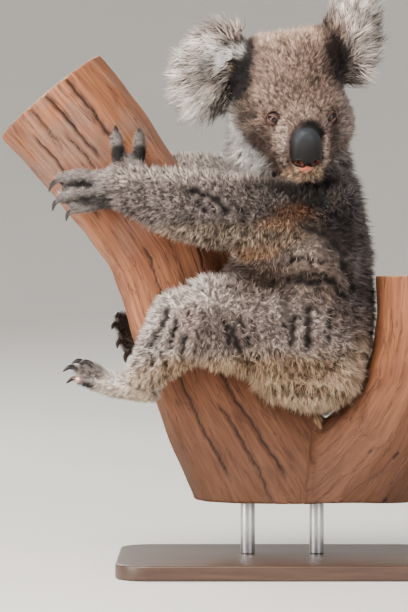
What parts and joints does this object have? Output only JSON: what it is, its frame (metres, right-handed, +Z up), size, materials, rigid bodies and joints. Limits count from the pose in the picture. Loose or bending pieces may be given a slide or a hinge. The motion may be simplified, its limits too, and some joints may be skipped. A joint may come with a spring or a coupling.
{
  "type": "life-size koala model on a forked eucalypt perch",
  "caption": "Life-size koala hugging a forked length of eucalypt, face turned to the viewer, on a flat display base with short rods.",
  "frame": {"origin": "centre of the underside of the stand's flat base, on the floor", "axes": "+Z up; -X the way the animal's chest faces, towards the limb it hugs; -Y the side its turned face looks to"},
  "size_m": [0.513, 0.281, 0.6348],
  "materials": {
    "fur": "woolly grey-brown coat, pale tipped, cream below",
    "nose_leather": "smooth bare charcoal leather with a soft sheen",
    "eye": "dark brown wet eye with an upright slit pupil",
    "claw": "dark horn, polished towards the tip",
    "bark": "smooth red-brown eucalypt wood with long cracks",
    "stand_board": "dark stained board, satin",
    "stand_rod": "satin steel rod"
  },
  "bodies": {
    "root": {"head": "fur", "ear_left": "fur", "ear_right": "fur", "neck": "fur", "chest": "fur", "belly": "fur", "rump": "fur", "upper_arm_left": "fur", "upper_arm_right": "fur", "hand_left": "fur", "hand_right": "fur", "forearm_left": "fur", "forearm_right": "fur", "thigh_left": "fur", "thigh_right": "fur", "foot_left": "fur", "foot_right": "fur", "shin_left": "fur", "shin_right": "fur", "eye_left": "eye", "eye_right": "eye", "nose": "nose_leather", "claw_hand_left_one": "claw", "claw_hand_left_two": "claw", "claw_hand_left_three": "claw", "claw_hand_left_four": "claw", "claw_hand_left_five": "claw", "claw_hand_right_one": "claw", "claw_hand_right_two": "claw", "claw_hand_right_three": "claw", "claw_hand_right_four": "claw", "claw_hand_right_five": "claw", "claw_foot_left_two": "claw", "claw_foot_left_three": "claw", "claw_foot_left_four": "claw", "claw_foot_left_five": "claw", "claw_foot_right_two": "claw", "claw_foot_right_three": "claw", "claw_foot_right_four": "claw", "claw_foot_right_five": "claw", "perch_limb": "bark", "perch_stem": "bark", "stand_base": "stand_board", "stand_rod_1": "stand_rod", "stand_rod_2": "stand_rod"}
  },
  "joints": []
}
